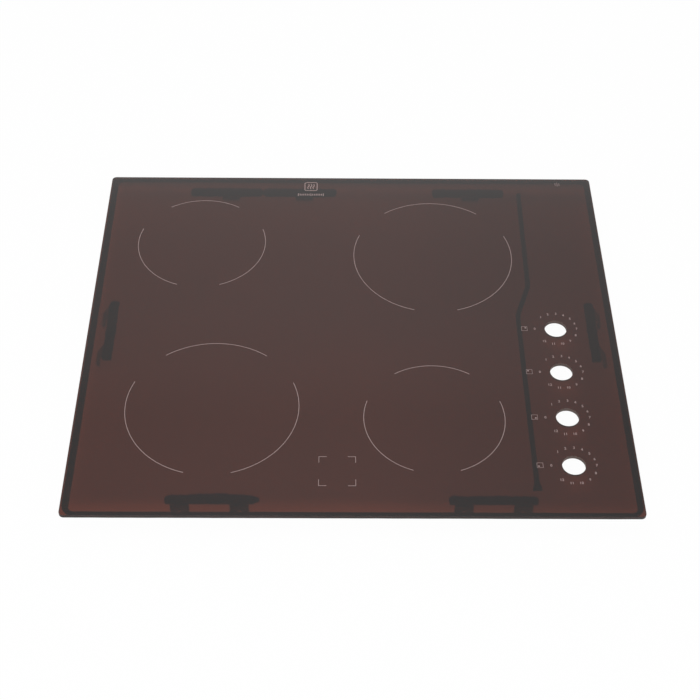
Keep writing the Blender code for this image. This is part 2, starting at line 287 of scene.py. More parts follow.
def surface(points, close_rows=False, close_columns=False, flip=False, slot=0, smooth=True):
    """One surface from a (rows, columns, 3) array of its points, with its material slot and shading."""
    points = np.asarray(points, float)
    faces = grid_faces(*points.shape[:2], close_rows, close_columns)
    return points.reshape(-1, 3), faces[:, ::-1] if flip else faces, slot, smooth


def new_piece(name, parts, materials, replaces=()):
    """Joins surfaces into one mesh piece, hangs it on the body's empty and hides the parts that it replaces.

    Points that lie together become one, so neighbouring surfaces share their rims, and a quad that
    has lost a corner that way becomes a triangle.
    """
    starts = np.cumsum([0] + [len(points) for points, *_ in parts])
    points = np.concatenate([part[0] for part in parts])
    faces = np.concatenate([part[1] + start for part, start in zip(parts, starts)])
    slots = np.concatenate([np.full(len(part[1]), part[2]) for part in parts])
    smooth = np.concatenate([np.full(len(part[1]), part[3]) for part in parts])
    _, first, same = np.unique(
        np.round(points / WELD + WELD_SHIFT).astype(np.int64), axis=0, return_index=True, return_inverse=True
    )
    corners = same.reshape(-1)[faces]
    kept = corners != np.roll(corners, 1, axis=1)
    whole = kept.sum(1) >= 3
    corners, kept, slots, smooth = corners[whole], kept[whole], slots[whole], smooth[whole]
    mesh = bpy.data.meshes.new(name)
    mesh.vertices.add(len(first))
    mesh.vertices.foreach_set("co", points[first].astype(np.float32).ravel())
    mesh.loops.add(int(kept.sum()))
    mesh.loops.foreach_set("vertex_index", corners[kept].astype(np.int32))
    loop_starts = np.concatenate([[0], np.cumsum(kept.sum(1))[:-1]])
    mesh.polygons.add(len(corners))
    mesh.polygons.foreach_set("loop_start", loop_starts.astype(np.int32))
    mesh.polygons.foreach_set("material_index", slots.astype(np.int32))
    mesh.polygons.foreach_set("use_smooth", smooth.astype(bool))
    mesh.update(calc_edges=True)
    if mesh.validate():
        raise RuntimeError(f"the surfaces of {name} made a broken mesh")
    for material in materials:
        mesh.materials.append(material)
    piece = bpy.data.objects.new(name, mesh)
    bpy.context.scene.collection.objects.link(piece)
    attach(piece, BODY)
    if replaces:
        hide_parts(*replaces)
    return piece


def lattice(breaks, step):
    """Lines through all the breaks, with each gap between two breaks cut into equal parts no longer than step."""
    slack = 1e-6  # of a part, so that a gap of whole steps gets no part more
    breaks = np.unique(np.round(breaks, 9))
    parts = [
        np.linspace(a, b, max(1, math.ceil((b - a) / step - slack)) + 1)[:-1]
        for a, b in zip(breaks, breaks[1:])
    ]
    return np.concatenate(parts + [breaks[-1:]])


def with_cell(lines, middle, half):
    """The lines, to the micrometre, with eight equal steps in place of those within half of the middle."""
    outside = lines[np.abs(lines - middle) > half - MICROMETRE]
    return np.unique(np.round(np.concatenate([outside, np.linspace(middle - half, middle + half, 9)]), DECIMALS))


def square_ring(count):
    """Points round the square from -1 to 1, counterclockwise from its lower right corner, count to a side."""
    along = np.linspace(-1, 1, count + 1)[:-1]
    quarter_turn = np.array([[0, 1], [-1, 0]])
    ring = [np.stack([np.ones(count), along], 1)]
    for _ in range(3):
        ring.append(ring[-1] @ quarter_turn)
    return np.concatenate(ring)


def flat_sheet(x, y, cut_away, corners, holes, fan_steps=8):
    """A flat sheet with round corners and holes: its lattice's points and quads, and its other surfaces.

    The sheet is the lattice of the lines x and y without its cut-away cells. At a corner, given as
    (centre, signs, radius), the cells make way for a fan: centre + r * (cos a, sin a) with the signs,
    for r on the lattice's own lines. At a hole, given as (centre, half side of its cells, radius),
    they make way for a ring that goes over from the circle to the square, point by point along straight
    lines. Fans and rings are (rows, columns, 2) arrays, and every face is counterclockwise.
    """
    cell_x, cell_y = np.meshgrid((x[1:] + x[:-1]) / 2, (y[1:] + y[:-1]) / 2, indexing="ij")
    kept = ~cut_away(cell_x, cell_y)
    others = []
    for (cx, cy), (sx, sy), radius in corners:
        beyond_x, beyond_y = sx * (cell_x - cx), sy * (cell_y - cy)
        kept &= ~((beyond_x > 0) & (beyond_y > 0) & (beyond_x < radius) & (beyond_y < radius))
        beyond = sx * (x - cx)
        lines = np.sort(np.abs(beyond[(beyond > -CLOSE) & (beyond < radius + CLOSE)]))
        r, a = np.meshgrid(lines, np.linspace(0, math.pi / 2, fan_steps + 1), indexing="ij")
        fan = np.stack([cx + sx * r * np.cos(a), cy + sy * r * np.sin(a)], -1)
        others.append(fan if sx * sy > 0 else fan[:, ::-1])
    for (cx, cy), half, radius in holes:
        kept &= ~((np.abs(cell_x - cx) < half) & (np.abs(cell_y - cy) < half))
        count = int(np.sum((x > cx - half + CLOSE) & (x < cx + half + CLOSE)))
        square = square_ring(count)
        circle = square / np.linalg.norm(square, axis=1, keepdims=True)
        t = np.linspace(0, 1, 7)[:, None, None] ** 1.5
        ring = (1 - t) * radius * circle + t * half * square + np.array([cx, cy])
        others.append(np.concatenate([ring, ring[:, :1]], 1))
    points = np.stack(np.meshgrid(x, y, indexing="ij"), -1)
    faces = grid_faces(len(x), len(y))[kept.ravel()]
    return points.reshape(-1, 2), faces, others


def lifted(sheet, place_points, slot=0, smooth=True, flip=False):
    """The surfaces of a flat sheet, with place_points turning their (n, 2) points into (n, 3) ones."""
    points, faces, others = sheet
    parts = [(place_points(points), faces[:, ::-1] if flip else faces, slot, smooth)]
    for grid in others:
        placed = place_points(grid.reshape(-1, 2)).reshape(*grid.shape[:2], 3)
        parts.append(surface(placed, slot=slot, smooth=smooth, flip=flip))
    return parts


def outline_of(half, radius, side_x, side_y, fan_steps=8):
    """A round-cornered rectangle's outline as (middle, direction), counterclockwise.

    middle + d * direction is the outline at distance d from the rectangle of the corners' centres.
    side_x and side_y are the places of the points along its straight sides.
    """
    cx, cy = half[0] - radius, half[1] - radius
    turn = np.linspace(0, math.pi / 2, fan_steps + 1)[1:-1]
    runs = []
    for quarter, (sx, sy) in enumerate([(1, -1), (1, 1), (-1, 1), (-1, -1)]):
        along = (side_x, side_y, side_x[::-1], side_y[::-1])[quarter]
        across = np.full(len(along), (-cy, cx, cy, -cx)[quarter])
        middle = np.stack([along, across] if quarter % 2 == 0 else [across, along], 1)
        facing = np.tile([(0, -1), (1, 0), (0, 1), (-1, 0)][quarter], (len(along), 1))
        runs.append((middle, facing))
        angle = (quarter - 1) * math.pi / 2 + turn
        runs.append((np.tile([sx * cx, sy * cy], (len(turn), 1)), np.stack([np.cos(angle), np.sin(angle)], 1)))
    middles, facings = zip(*runs)
    return np.concatenate(middles), np.concatenate(facings)


def with_height(points, z):
    """(…, 2) points with a height z as their third number."""
    z = np.broadcast_to(z, points.shape[:-1])
    return np.concatenate([points, z[..., None]], -1)


def run_along(line):
    """The length of a line from its start to each of its points."""
    return np.concatenate([[0], np.cumsum(np.linalg.norm(np.diff(line, axis=0), axis=1))])


def rounded_polyline(corners, radius, steps, spacing=0.006):
    """A line through the corners, with each bend replaced by an arc of that radius.

    The arc touches both legs at radius * tan(bend / 2) from the corner and turns about the point on
    the bend's bisector. The straight runs get points no further apart than spacing.
    """
    corners = np.asarray(corners, float)
    line = [corners[:1]]
    for before, corner, after in zip(corners, corners[1:], corners[2:]):
        into, out = corner - before, after - corner
        into, out = into / np.linalg.norm(into), out / np.linalg.norm(out)
        turn = math.atan2(into[0] * out[1] - into[1] * out[0], into @ out)
        reach = radius * math.tan(abs(turn) / 2)
        left = np.array([-into[1], into[0]]) * math.copysign(1, turn)
        centre = corner - reach * into + radius * left
        angle = np.linspace(0, abs(turn), steps + 1)[:, None]
        line.append(centre - radius * np.cos(angle) * left + radius * np.sin(angle) * into)
    line.append(corners[-1:])
    line = np.concatenate(line)
    run = run_along(line)
    at = lattice(run, spacing)
    return np.stack([np.interp(at, run, line[:, k]) for k in (0, 1)], 1)


def right_of(line, closed=False):
    """Directions to the right of a line at each of its points, longer in a bend, so that a parallel line stays so."""
    if closed:
        steps = np.roll(line, -1, 0) - line
    else:
        steps = np.diff(line, axis=0)
        steps = np.concatenate([steps, steps[-1:]])
    steps = steps / np.linalg.norm(steps, axis=1, keepdims=True)
    rights = np.stack([steps[:, 1], -steps[:, 0]], 1)
    before = np.roll(rights, 1, 0)
    if not closed:
        before[0] = rights[0]
    both = rights + before
    return 2 * both / np.sum(both * both, axis=1, keepdims=True)


def squared_oval(count, power):
    """The closed curve |a|^power + |b|^power = 1, from (1, 0) counterclockwise, as (count, 2) points."""
    angle = np.linspace(0, 2 * math.pi, count, endpoint=False) + math.pi / count
    c, s = np.cos(angle), np.sin(angle)
    return np.stack([np.sign(c) * np.abs(c) ** (2 / power), np.sign(s) * np.abs(s) ** (2 / power)], 1)


def wander(at, seed, *waves):
    """A smooth uneven line from -1 to 1: the mean of sines of the given wavelengths, each with a phase of its own.

    The phases come from the seed by plain multiples, so they are the same on every run.
    """
    phases = [math.fmod(seed * 12.9898 * (k + 1) + 3.7 * k, 2 * math.pi) for k in range(len(waves))]
    return np.mean([np.sin(2 * math.pi * at / wave + phase) for wave, phase in zip(waves, phases)], axis=0)


def stroke(line, width, closed=False):
    """A printed line: a flat-topped profile of four points carried along the line, with a cap on each open end."""
    low, high = print_heights()
    rights = right_of(line, closed)
    half, top_half = width / 2, width / 2 * 0.94
    profile = [(half, low), (top_half, high), (-top_half, high), (-half, low)]
    points = np.stack([with_height(line + offset * rights, z) for offset, z in profile], 1)
    made = [surface(points, close_rows=closed, close_columns=True, smooth=False)]
    if not closed:
        for end, order in ((0, [0, 1, 2, 3]), (-1, [3, 2, 1, 0])):
            made.append((points[end], np.array([order]), 0, False))
    return made


def filled_box(centre, half):
    """A small printed square: the four walls of a flat box, and its underside and top."""
    square = np.asarray(centre) + half * SQUARE
    points = np.stack([with_height(square, z) for z in print_heights()])
    return [
        surface(points, close_columns=True, flip=True, smooth=False),
        (points.reshape(-1, 3), np.array([[3, 2, 1, 0], [4, 5, 6, 7]]), 0, False),
    ]


def circle_arc(centre, radius, start, end, spacing=0.0022):
    """Points on a circle from angle start to angle end, in degrees."""
    turn = math.radians(end - start)
    angle = math.radians(start) + np.linspace(0, turn, max(2, round(abs(turn) * radius / spacing)) + 1)
    return np.asarray(centre) + radius * np.stack([np.cos(angle), np.sin(angle)], 1)


# ---------------------------------------------------------------- finishes


def add_node(tree, kind, values=None, **options):
    """A node of that kind. values holds numbers or sockets for its inputs, and options its own settings."""
    made = tree.nodes.new(kind)
    for key, value in options.items():
        setattr(made, key, value)
    for key, value in (values or {}).items():
        if isinstance(value, bpy.types.NodeSocket):
            tree.links.new(value, made.inputs[key])
        else:
            made.inputs[key].default_value = value
    return made


def math_node(tree, operation, first, second=0.0):
    return add_node(tree, "ShaderNodeMath", {0: first, 1: second}, operation=operation).outputs[0]


def mapped(tree, value, low, high, from_low=0.0, from_high=1.0):
    """The value, with from_low..from_high taken to low..high."""
    made = add_node(tree, "ShaderNodeMapRange", {0: value, 1: from_low, 2: from_high, 3: low, 4: high})
    return made.outputs[0]


def blended(tree, factor, first, second):
    """The first colour going over into the second as the factor goes from 0 to 1."""
    return add_node(tree, "ShaderNodeMix", {0: factor, 6: first, 7: second}, data_type="RGBA").outputs[2]


def object_place(tree):
    return add_node(tree, "ShaderNodeTexCoord").outputs["Object"]


def new_group(name, inputs, outputs):
    """An empty shader node group, with its input and output nodes."""
    tree = bpy.data.node_groups.new(name, "ShaderNodeTree")
    for label, default in inputs.items():
        socket = tree.interface.new_socket(label, in_out="INPUT", socket_type="NodeSocketFloat")
        socket.default_value = default
    for label, kind in outputs.items():
        tree.interface.new_socket(label, in_out="OUTPUT", socket_type=kind)
    return tree, tree.nodes.new("NodeGroupInput"), tree.nodes.new("NodeGroupOutput")


def surface_variation():
    """Group: Cloud is a broad patchiness and Grain a fine one, both from 0 to 1. Specks marks sparse dust."""
    if "surface_variation" in bpy.data.node_groups:
        return bpy.data.node_groups["surface_variation"]
    tree, given, result = new_group(
        "surface_variation",
        {"Cloud Scale": 12.0, "Grain Scale": 900.0, "Speck Scale": 160.0, "Speck Size": 0.06},
        {"Cloud": "NodeSocketFloat", "Grain": "NodeSocketFloat", "Specks": "NodeSocketFloat"},
    )
    cloud_scale, grain_scale, speck_scale, speck_size = given.outputs[:4]
    at = object_place(tree)
    cloud, grain = (
        add_node(tree, "ShaderNodeTexNoise", {"Vector": at, "Scale": scale, "Detail": detail, "Roughness": rough})
        for scale, detail, rough in ((cloud_scale, 3.0, 0.55), (grain_scale, 2.0, 0.6))
    )
    cells = add_node(tree, "ShaderNodeTexVoronoi", {"Vector": at, "Scale": speck_scale})
    edge = math_node(tree, "MULTIPLY", speck_size, 1.6)
    specks = mapped(tree, cells.outputs["Distance"], 1.0, 0.0, speck_size, edge)
    tree.links.new(mapped(tree, cloud.outputs[0], 0.0, 1.0, 0.3, 0.7), result.inputs[0])
    tree.links.new(mapped(tree, grain.outputs[0], 0.0, 1.0, 0.25, 0.75), result.inputs[1])
    tree.links.new(specks, result.inputs[2])
    return tree


def hairlines():
    """Group: fine straight scratches, from 0 to 1, along X turned about Z by the Turn input, in radians."""
    if "hairlines" in bpy.data.node_groups:
        return bpy.data.node_groups["hairlines"]
    tree, given, result = new_group(
        "hairlines", {"Turn": 0.0, "Density": 0.1, "Scale": 420.0}, {"Lines": "NodeSocketFloat"}
    )
    turn, density, scale = given.outputs[:3]
    angles = add_node(tree, "ShaderNodeCombineXYZ", {2: turn}).outputs[0]
    turned = add_node(
        tree, "ShaderNodeVectorRotate", {"Vector": object_place(tree), "Rotation": angles}, rotation_type="EULER_XYZ"
    )
    long_drawn = {0: turned.outputs[0], 1: (0.03, 1.0, 1.0)}
    narrow = add_node(tree, "ShaderNodeVectorMath", long_drawn, operation="MULTIPLY").outputs[0]
    noise = add_node(tree, "ShaderNodeTexNoise", {"Vector": narrow, "Scale": scale, "Detail": 2.0})
    edge = math_node(tree, "SUBTRACT", 0.78, density)
    lines = mapped(tree, noise.outputs[0], 0.0, 1.0, edge, math_node(tree, "ADD", edge, 0.06))
    tree.links.new(lines, result.inputs[0])
    return tree


def use_group(tree, group, **values):
    return add_node(
        tree, "ShaderNodeGroup", {key.replace("_", " "): value for key, value in values.items()}, node_tree=group
    )


def new_material(name, **plain):
    """A material, made afresh if it is there already. Uniform numbers are set on the shader's own sockets."""
    material = bpy.data.materials.get(name) or bpy.data.materials.new(name)
    material.use_nodes = True
    tree = material.node_tree
    tree.nodes.clear()
    shader = add_node(tree, "ShaderNodeBsdfPrincipled", {key.replace("_", " "): value for key, value in plain.items()})
    add_node(tree, "ShaderNodeOutputMaterial", {"Surface": shader.outputs[0]})
    return material, tree, shader


def tinted(tree, colour_value, amount, factor):
    """The colour, darker and lighter by amount as factor goes from 0 to 1."""
    base = np.array(tuple(colour_value))
    return blended(tree, factor, (*(base * (1 - amount)), 1.0), (*np.minimum(base * (1 + amount), 1.0), 1.0))


def variation(tree, cloud, grain, **specks):
    """The Cloud, Grain and Specks outputs of the shared variation, at those scales in cells to the metre."""
    made = use_group(tree, surface_variation(), Cloud_Scale=cloud, Grain_Scale=grain, **specks)
    return made.outputs["Cloud"], made.outputs["Grain"], made.outputs["Specks"]


def dress(tree, shader, base, roughness, height, depth, strength=1.0):
    """Gives a shader its colour and roughness, and a bump of that depth in metres."""
    tree.links.new(base, shader.inputs["Base Color"])
    tree.links.new(roughness, shader.inputs["Roughness"])
    relief = add_node(tree, "ShaderNodeBump", {"Height": height, "Distance": depth, "Strength": strength})
    tree.links.new(relief.outputs[0], shader.inputs["Normal"])


def glass_ceramic(side, finishes, lets_through=1.0):
    """A bare glass-ceramic material for one side of the plate."""
    return new_material(
        "glass_ceramic_" + side, Metallic=0.0, IOR=finishes.glass_bend, Transmission_Weight=lets_through
    )


def glass_face_finish(finishes):
    """Polished upper face: deep brown glass, faintly cloudy, with the thin haze that wiping leaves."""
    material, tree, shader = glass_ceramic("face", finishes)
    cloud, haze, _ = variation(tree, 7.0, 60.0, Speck_Scale=90.0, Speck_Size=0.02)
    base = tinted(tree, finishes.glass, 0.045, cloud)
    dress(tree, shader, base, mapped(tree, haze, 0.012, 0.045), cloud, 0.0001, 0.25)
    return material


def ground_glass(side, finishes, colour_value, amount, cloud_scale, roughness, lets_through):
    """Glass that a tool has left matt: a fine grain in roughness and bump, and a colour that varies by amount."""
    material, tree, shader = glass_ceramic(side, finishes, lets_through)
    cloud, grain, _ = variation(tree, cloud_scale, 2600.0)
    base = tinted(tree, colour_value, amount, cloud)
    dress(tree, shader, base, mapped(tree, grain, *roughness), grain, 0.00002, 0.5)
    return material


def glass_edge_finish(finishes):
    """Ground edge: the same glass, made matt by the grinding wheel."""
    return ground_glass("ground_edge", finishes, finishes.glass, 0.06, 40.0, (0.34, 0.50), 1.0)


def glass_bore_finish(finishes):
    """Drilled wall of the knob holes: frosted by the core drill, so it scatters some of the light that falls on it."""
    return ground_glass("bore", finishes, finishes.bore, 0.12, 60.0, (0.45, 0.62), 0.35)


def glass_underside_finish(finishes, sizes):
    """Rolled underside: the same glass with rows of round nubs, sin(kx) * sin(ky), a little softer than the top."""
    material, tree, shader = glass_ceramic("underside", finishes)
    cloud, grain, _ = variation(tree, 7.0, 300.0)
    axes = add_node(tree, "ShaderNodeSeparateXYZ", {0: object_place(tree)})
    turns = 2 * math.pi / sizes.nub_pitch
    waves = [math_node(tree, "SINE", math_node(tree, "MULTIPLY", axes.outputs[k], turns)) for k in (0, 1)]
    nubs = math_node(tree, "MULTIPLY", *waves)
    base = tinted(tree, finishes.glass, 0.045, cloud)
    dress(tree, shader, base, mapped(tree, grain, 0.16, 0.22), nubs, sizes.nub_height / 2)
    return material


def foam_finish(finishes):
    """Closed-cell foam: matt, dark grey, with the open skin cells of a cut strip."""
    material, tree, shader = new_material(
        "seal_foam", Metallic=0.0, Specular_IOR_Level=0.25, Sheen_Weight=0.15, Sheen_Roughness=0.6
    )
    cloud, grain, _ = variation(tree, 60.0, 1500.0, Speck_Scale=700.0, Speck_Size=0.12)
    voronoi = add_node(tree, "ShaderNodeTexVoronoi", {"Vector": object_place(tree), "Scale": 1900.0})
    cells = voronoi.outputs["Distance"]
    shade = math_node(
        tree, "ADD", math_node(tree, "MULTIPLY", cloud, 0.5), math_node(tree, "MULTIPLY", cells, 0.6)
    )
    base = tinted(tree, finishes.foam, 0.30, shade)
    dress(tree, shader, base, mapped(tree, grain, 0.82, 0.96), cells, 0.00018, 0.8)
    return material


def coating_finish(finishes):
    """Black coated sheet: satin, with a fine orange peel, rub marks and a little dust."""
    dust, rubbed = (0.16, 0.15, 0.14, 1.0), (0.12, 0.12, 0.125, 1.0)
    material, tree, shader = new_material("bracket_coating", Metallic=0.0, Specular_IOR_Level=0.45)
    cloud, grain, specks = variation(tree, 55.0, 1300.0, Speck_Scale=420.0, Speck_Size=0.05)
    lines = use_group(tree, hairlines(), Turn=0.35, Density=0.08, Scale=380.0).outputs[0]
    coat = tinted(tree, finishes.coating, 0.22, cloud)
    dusty = blended(tree, math_node(tree, "MULTIPLY", specks, 0.35), coat, dust)
    worn = math_node(tree, "MULTIPLY", math_node(tree, "MULTIPLY", lines, cloud), 0.35)
    base = blended(tree, worn, dusty, rubbed)
    dress(tree, shader, base, mapped(tree, grain, 0.36, 0.52), grain, 0.00003, 0.6)
    return material


def cut_edge_finish(finishes):
    """Sheared edge of the sheet: bare steel, bright in streaks where the shear cut and dull where it tore."""
    material, tree, shader = new_material("bracket_cut_edge", Metallic=0.9)
    cloud, grain, _ = variation(tree, 260.0, 2400.0)
    base = tinted(tree, finishes.bare_steel, 0.35, cloud)
    dress(tree, shader, base, mapped(tree, grain, 0.34, 0.6), grain, 0.00003, 0.7)
    return material


def silicone_finish(finishes):
    """Cured silicone: black, satin, with the slow ripples of a bead laid by hand."""
    material, tree, shader = new_material("silicone_bead", Metallic=0.0, Specular_IOR_Level=0.5)
    cloud, _, _ = variation(tree, 180.0, 1700.0)
    base = tinted(tree, finishes.silicone, 0.25, cloud)
    dress(tree, shader, base, mapped(tree, cloud, 0.34, 0.52), cloud, 0.0003, 0.6)
    return material


def enamel_finish(finishes):
    """Fired enamel: pale, a little patchy and slightly rough, as screen printing leaves it."""
    material, tree, shader = new_material("printed_enamel", Metallic=0.0, Specular_IOR_Level=0.4)
    cloud, grain, _ = variation(tree, 45.0, 3200.0)
    shade = math_node(
        tree, "ADD", math_node(tree, "MULTIPLY", cloud, 0.5), math_node(tree, "MULTIPLY", grain, 0.5)
    )
    base = tinted(tree, finishes.enamel, 0.10, shade)
    dress(tree, shader, base, mapped(tree, grain, 0.45, 0.62), grain, 0.000008, 0.5)
    return material


# ---------------------------------------------------------------- pieces


def plate_lines(half, edge, corner_middle, corner, middles, cell):
    """Lattice lines of the plate along one axis: even ones, and finer ones in its corners and across the holes."""
    breaks = [-half + edge, -corner_middle, corner_middle, half - edge, *(middles - cell), *(middles + cell)]
    fine = [np.linspace(middle - cell, middle + cell, 21) for middle in middles]
    fine += [
        np.linspace(-corner_middle - corner, -corner_middle, 4),
        np.linspace(corner_middle, corner_middle + corner, 4),
    ]
    return np.unique(np.round(np.concatenate([lattice(breaks, 0.0125), *fine]), 7))


def both_rims(rim, top, bottom):
    """A wall's profile of (inset, height) from top to bottom, with one rim of (inset, depth) points at both ends."""
    return [(inset, top - depth) for inset, depth in rim] + [(inset, bottom + depth) for inset, depth in rim[::-1]]


class HOB_OT_glass_plate(bpy.types.Operator):
    """Build the glass-ceramic plate with its ground edge and knob holes"""

    bl_idname = "hob.glass_plate"
    bl_label = "Glass plate"

    def execute(self, context):
        sizes, finishes = settings().glass, settings().finishes
        edge, chamfer = sizes.ground_edge, sizes.hole_chamfer
        half = (GLASS_HIGH[:2] - GLASS_LOW[:2]) / 2
        middle = (GLASS_HIGH[:2] + GLASS_LOW[:2]) / 2
        top, bottom = GLASS_HIGH[2] - sizes.print_relief, GLASS_LOW[2]
        inner = sizes.corner_radius - edge
        hole = sizes.hole_diameter / 2
        cell = 0.020  # half the side of the squares that the holes' rings fill
        centre_x, centre_y = half - sizes.corner_radius
        holes = KNOB_HOLES - middle
        x = plate_lines(half[0], edge, centre_x, inner, holes[:1, 0], cell)
        y = plate_lines(half[1], edge, centre_y, inner, holes[:, 1], cell)
        corners = [((sx * centre_x, sy * centre_y), (sx, sy), inner) for sx in (-1, 1) for sy in (-1, 1)]
        rings = [(tuple(h), cell, hole + chamfer) for h in holes]
        sheet = flat_sheet(x, y, lambda a, b: np.zeros(a.shape, bool), corners, rings)
        parts = lifted(sheet, lambda p: with_height(p + middle, top), slot=0, smooth=False)
        parts += lifted(sheet, lambda p: with_height(p + middle, bottom), slot=1, smooth=False, flip=True)
        side_x = x[np.abs(x) <= centre_x + CLOSE]
        side_y = y[np.abs(y) <= centre_y + CLOSE]
        base, facing = outline_of(half, sizes.corner_radius, side_x, side_y)
        turn = np.linspace(0, math.pi / 2, 6)
        profile = both_rims([(edge * (1 - math.sin(a)), edge * (1 - math.cos(a))) for a in turn], top, bottom)
        wall = [with_height(middle + base + facing * (sizes.corner_radius - inset), z) for inset, z in profile]
        parts.append(surface(np.stack(wall), close_columns=True, slot=2))
        around = square_ring(20)
        around = around / np.linalg.norm(around, axis=1, keepdims=True)
        eased = chamfer * 0.35
        bore = both_rims([(chamfer, 0.0), (eased, eased), (0.0, chamfer)], top, bottom)
        for centre in holes:
            loops = [with_height(middle + centre + around * (hole + wider), z) for wider, z in bore]
            parts.append(surface(np.stack(loops), close_columns=True, flip=True, slot=3))
        materials = [
            glass_face_finish(finishes), glass_underside_finish(finishes, sizes),
            glass_edge_finish(finishes), glass_bore_finish(finishes),
        ]
        new_piece("glass_body", parts, materials, ["glass_plate"])
        return {"FINISHED"}


def new_print(name, parts):
    """A piece of fired enamel. It stands for no node of its own, since the print is part of the plate."""
    new_piece(name, parts, [enamel_finish(settings().finishes)])


class HOB_OT_zone_rings(bpy.types.Operator):
    """Print the broken rings round the four cooking zones"""

    bl_idname = "hob.zone_rings"
    bl_label = "Zone rings"

    def execute(self, context):
        sizes = settings().print
        small_arcs = [(57, 123), (-71, 18.5), (161.5, 251)]  # degrees, counterclockwise from the right
        large_arcs = [(53, 126.5), (-74.7, 22), (157.5, 254.7)]
        parts = []
        for centre, radius, arcs in (
            (sizes.rear_left, sizes.small_radius, small_arcs),
            (sizes.front_right, sizes.small_radius, small_arcs),
            (sizes.front_left, sizes.large_radius, large_arcs),
            (sizes.rear_right, sizes.large_radius, large_arcs),
        ):
            for start, end in arcs:
                parts += stroke(circle_arc(tuple(centre), radius, start, end), sizes.line)
        new_print("zone_rings", parts)
        return {"FINISHED"}


def digit_shapes(labels, height):
    """Each label as (points, triangles) of a flat mesh of that height round the origin, in the built-in font."""
    bolder = 0.016  # how far the outlines are moved out, as a share of the letters' size
    shapes = {}
    for label in labels:
        curve = bpy.data.curves.new("label", "FONT")
        curve.body, curve.align_x, curve.align_y = label, "CENTER", "CENTER"
        curve.resolution_u, curve.offset = 3, bolder
        text = bpy.data.objects.new("label", curve)
        bpy.context.scene.collection.objects.link(text)
        bpy.context.view_layer.update()
        mesh = text.evaluated_get(bpy.context.evaluated_depsgraph_get()).to_mesh()
        mesh.calc_loop_triangles()
        points = np.zeros(len(mesh.vertices) * 3)
        mesh.vertices.foreach_get("co", points)
        triangles = np.zeros(len(mesh.loop_triangles) * 3, int)
        mesh.loop_triangles.foreach_get("vertices", triangles)
        points = points.reshape(-1, 3)[:, :2]
        middle = (points.max(0) + points.min(0)) / 2
        shapes[label] = ((points - middle) * height / np.ptp(points[:, 1]), triangles.reshape(-1, 3))
        bpy.data.objects.remove(text)
        bpy.data.curves.remove(curve)
    return shapes


def raised(points, triangles):
    """A flat shape given a thickness: its triangles above and below, and a wall along each edge of its outline.

    An edge belongs to the outline if only one triangle has it.
    """
    low, high = print_heights()
    sides = np.concatenate([triangles[:, [0, 1]], triangles[:, [1, 2]], triangles[:, [2, 0]]])
    keys = np.sort(sides, axis=1)
    _, back, counts = np.unique(keys, axis=0, return_inverse=True, return_counts=True)
    rim = sides[counts[back.reshape(-1)] == 1]
    count = len(points)
    both = np.concatenate([with_height(points, high), with_height(points, low)])
    above = triangles[:, [0, 1, 2, 2]]
    below = triangles[:, [2, 1, 0, 0]] + count
    wall = np.stack([rim[:, 0], rim[:, 0] + count, rim[:, 1] + count, rim[:, 1]], 1)
    return both, np.concatenate([above, below, wall]), 0, False


class HOB_OT_dial_numbers(bpy.types.Operator):
    """Print the numbers 0 to 12 round each knob hole"""

    bl_idname = "hob.dial_numbers"
    bl_label = "Dial numbers"

    def execute(self, context):
        sizes = settings().print
        angles = [180.5, 130, 107, 84.5, 64, 42, 21, 0, -25, -52, -76, -101, -126.5]  # of 0 to 12, in degrees
        labels = [str(k) for k in range(len(angles))]
        shapes = digit_shapes(labels, sizes.digit_height)
        parts = []
        for centre in KNOB_HOLES:
            for label, angle in zip(labels, np.radians(angles)):
                points, triangles = shapes[label]
                at = centre + sizes.dial_radius * np.array([math.cos(angle), math.sin(angle)])
                parts.append(raised(points + at, triangles))
        new_print("dial_numbers", parts)
        return {"FINISHED"}


class HOB_OT_zone_signs(bpy.types.Operator):
    """Print the square sign beside each knob hole, with a small filled square for the zone that the knob sets"""

    bl_idname = "hob.zone_signs"
    bl_label = "Zone signs"

    def execute(self, context):
        sizes = settings().print
        half = sizes.sign_size / 2
        parts = []
        for centre, zone in zip(KNOB_HOLES, ((-1, -1), (1, -1), (-1, 1), (1, 1))):
            at = centre - (sizes.sign_distance, 0)
            parts += stroke(at + half * SQUARE, sizes.sign_line, closed=True)
            parts += filled_box(at + np.array(zone) * half * 0.40, half * 0.26)
        new_print("zone_signs", parts)
        return {"FINISHED"}


def tick_row(centre, places, halves, width):
    """Upright strokes at those places along a row, each reaching its own half above and below the centre."""
    parts = []
    for along, half in zip(places, halves):
        parts += stroke(np.array([(along, -half), (along, half)]) + centre, width)
    return parts


